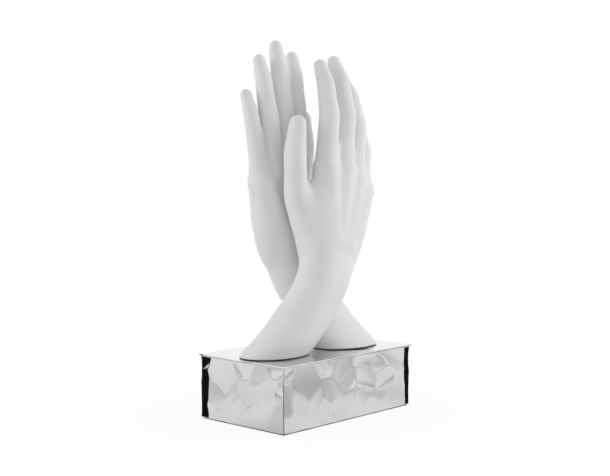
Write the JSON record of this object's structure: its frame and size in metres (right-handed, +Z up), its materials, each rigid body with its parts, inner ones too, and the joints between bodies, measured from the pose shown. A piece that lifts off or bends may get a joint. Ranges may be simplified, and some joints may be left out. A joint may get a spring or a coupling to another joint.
{
  "type": "ceramic hand sculpture",
  "caption": "Two white ceramic hands crossed at the wrists, fingers raised, on a rectangular plinth clad in mirror metal with hammered sides.",
  "frame": {"origin": "middle of the underside of the plinth, on the face of the felt that the object stands on", "axes": "+X along the plinth's long side, +Y to the back, where both palms face, +Z up towards the fingertips"},
  "size_m": [0.15, 0.09, 0.292],
  "materials": {
    "ceramic": "matt white, smooth, unglazed",
    "mirror_metal": "polished to a mirror",
    "hammered_metal": "polished to a mirror over hammered dents",
    "gasket": "matt black sheet",
    "wood": "plain sawn board",
    "base_board": "hard fibre board",
    "felt": "black felt",
    "plaster": "cast plaster",
    "zinc_steel": "zinc plated"
  },
  "bodies": {
    "root": {"right_hand": "ceramic", "left_hand": "ceramic", "right_wrist_plug": "plaster", "left_wrist_plug": "plaster", "right_anchor_nut": "zinc_steel", "left_anchor_nut": "zinc_steel", "right_stud": "zinc_steel", "left_stud": "zinc_steel", "right_gasket": "gasket", "left_gasket": "gasket", "right_washer": "zinc_steel", "left_washer": "zinc_steel", "right_split_washer": "zinc_steel", "left_split_washer": "zinc_steel", "right_nut": "zinc_steel", "left_nut": "zinc_steel", "top_plate": "mirror_metal", "front_panel": "hammered_metal", "back_panel": "hammered_metal", "left_panel": "hammered_metal", "right_panel": "hammered_metal", "plinth_core": "wood", "base_board": "base_board", "base_board_screws": "zinc_steel", "felt_pad": "felt"}
  },
  "joints": []
}
